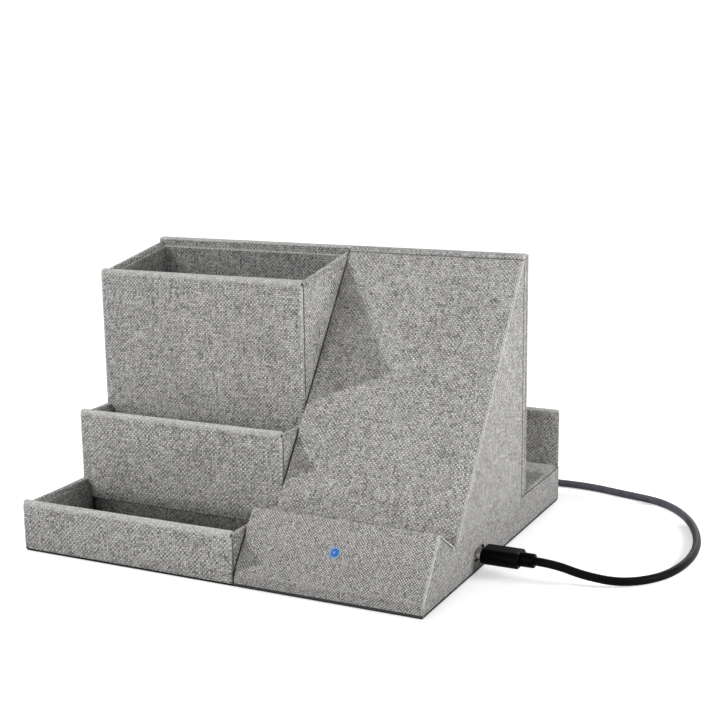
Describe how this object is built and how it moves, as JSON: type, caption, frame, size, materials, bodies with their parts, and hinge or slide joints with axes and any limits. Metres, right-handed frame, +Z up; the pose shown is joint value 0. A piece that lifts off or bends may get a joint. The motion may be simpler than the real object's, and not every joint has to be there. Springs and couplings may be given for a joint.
{
  "type": "desk organizer with charging phone stand",
  "caption": "Cloth-covered desk caddy with stepped tray, note box and pen cup, a sloping charging phone stand, a rear book slot and a plug with its cord",
  "frame": {"origin": "on the desk, under the middle of the organizer's base", "axes": "+X to the organizer's right, +Y to its back, +Z up"},
  "size_m": [0.2512, 0.2324, 0.117],
  "materials": {
    "cloth": "heather grey woven linen-look book cloth",
    "lining": "the same grey cloth on thin card",
    "board": "grey-brown book board",
    "base_sheet": "matt black non-slip sheet",
    "black_plastic": "black moulded plastic",
    "screw": "zinc-plated steel",
    "copper": "enamelled copper wire",
    "ferrite": "dark grey ferrite",
    "circuit_board": "green solder mask",
    "chip": "black moulded resin",
    "capacitor": "tan ceramic",
    "plug_metal": "satin nickel plate",
    "light_guide": "clear plastic lit blue",
    "plug_grip": "black soft plastic",
    "cord": "black flexible jacket",
    "tie": "black hook-and-loop strap"
  },
  "bodies": {
    "organizer": {"left_side_panel": "cloth", "left_side_facing": "cloth", "caddy_right_panel": "cloth", "caddy_right_facing": "cloth", "tray_front_panel": "cloth", "note_front_panel": "cloth", "cup_front_panel": "cloth", "caddy_base_board": "board", "tray_liner": "lining", "note_liner": "lining", "cup_liner": "lining", "tray_floor_pad": "lining", "note_floor_pad": "lining", "cup_floor_pad": "lining", "back_panel": "cloth", "slot_floor_board": "cloth", "rear_wall_panel": "cloth", "rear_base_board": "board", "base_sheet": "base_sheet", "front_lip_board": "cloth", "shelf_board": "cloth", "backrest_board": "cloth", "stand_left_panel": "cloth", "stand_right_panel": "cloth", "right_side_facing": "cloth", "charger_base_plate": "black_plastic", "corner_blocks": "board", "base_screws": "screw", "charging_coil": "copper", "ferrite_sheet": "ferrite", "coil_carrier": "black_plastic", "carrier_screws": "screw", "coil_leads": "copper", "charger_board": "circuit_board", "board_screws": "screw", "control_chip": "chip", "power_inductor": "chip", "tuning_capacitors": "capacitor", "socket_shell": "plug_metal", "socket_tongue": "chip", "light_guide": "light_guide", "status_light": "light_guide", "light_board": "circuit_board", "light_wires": "cord"},
    "cord_set": {"plug_shell": "plug_metal", "plug_grip": "plug_grip", "plug_strain_relief": "plug_grip", "cord_lead": "cord", "cord_coil": "cord", "cord_tie": "tie", "cord_tail": "cord", "far_strain_relief": "plug_grip", "far_plug_grip": "plug_grip", "far_plug_shell": "plug_metal", "far_plug_tongue": "chip"}
  },
  "joints": [
    {"name": "plug_pull", "type": "slide", "parent": "organizer", "child": "cord_set", "axis": [1, 0, 0], "range_m": [0, 0.012]}
  ]
}
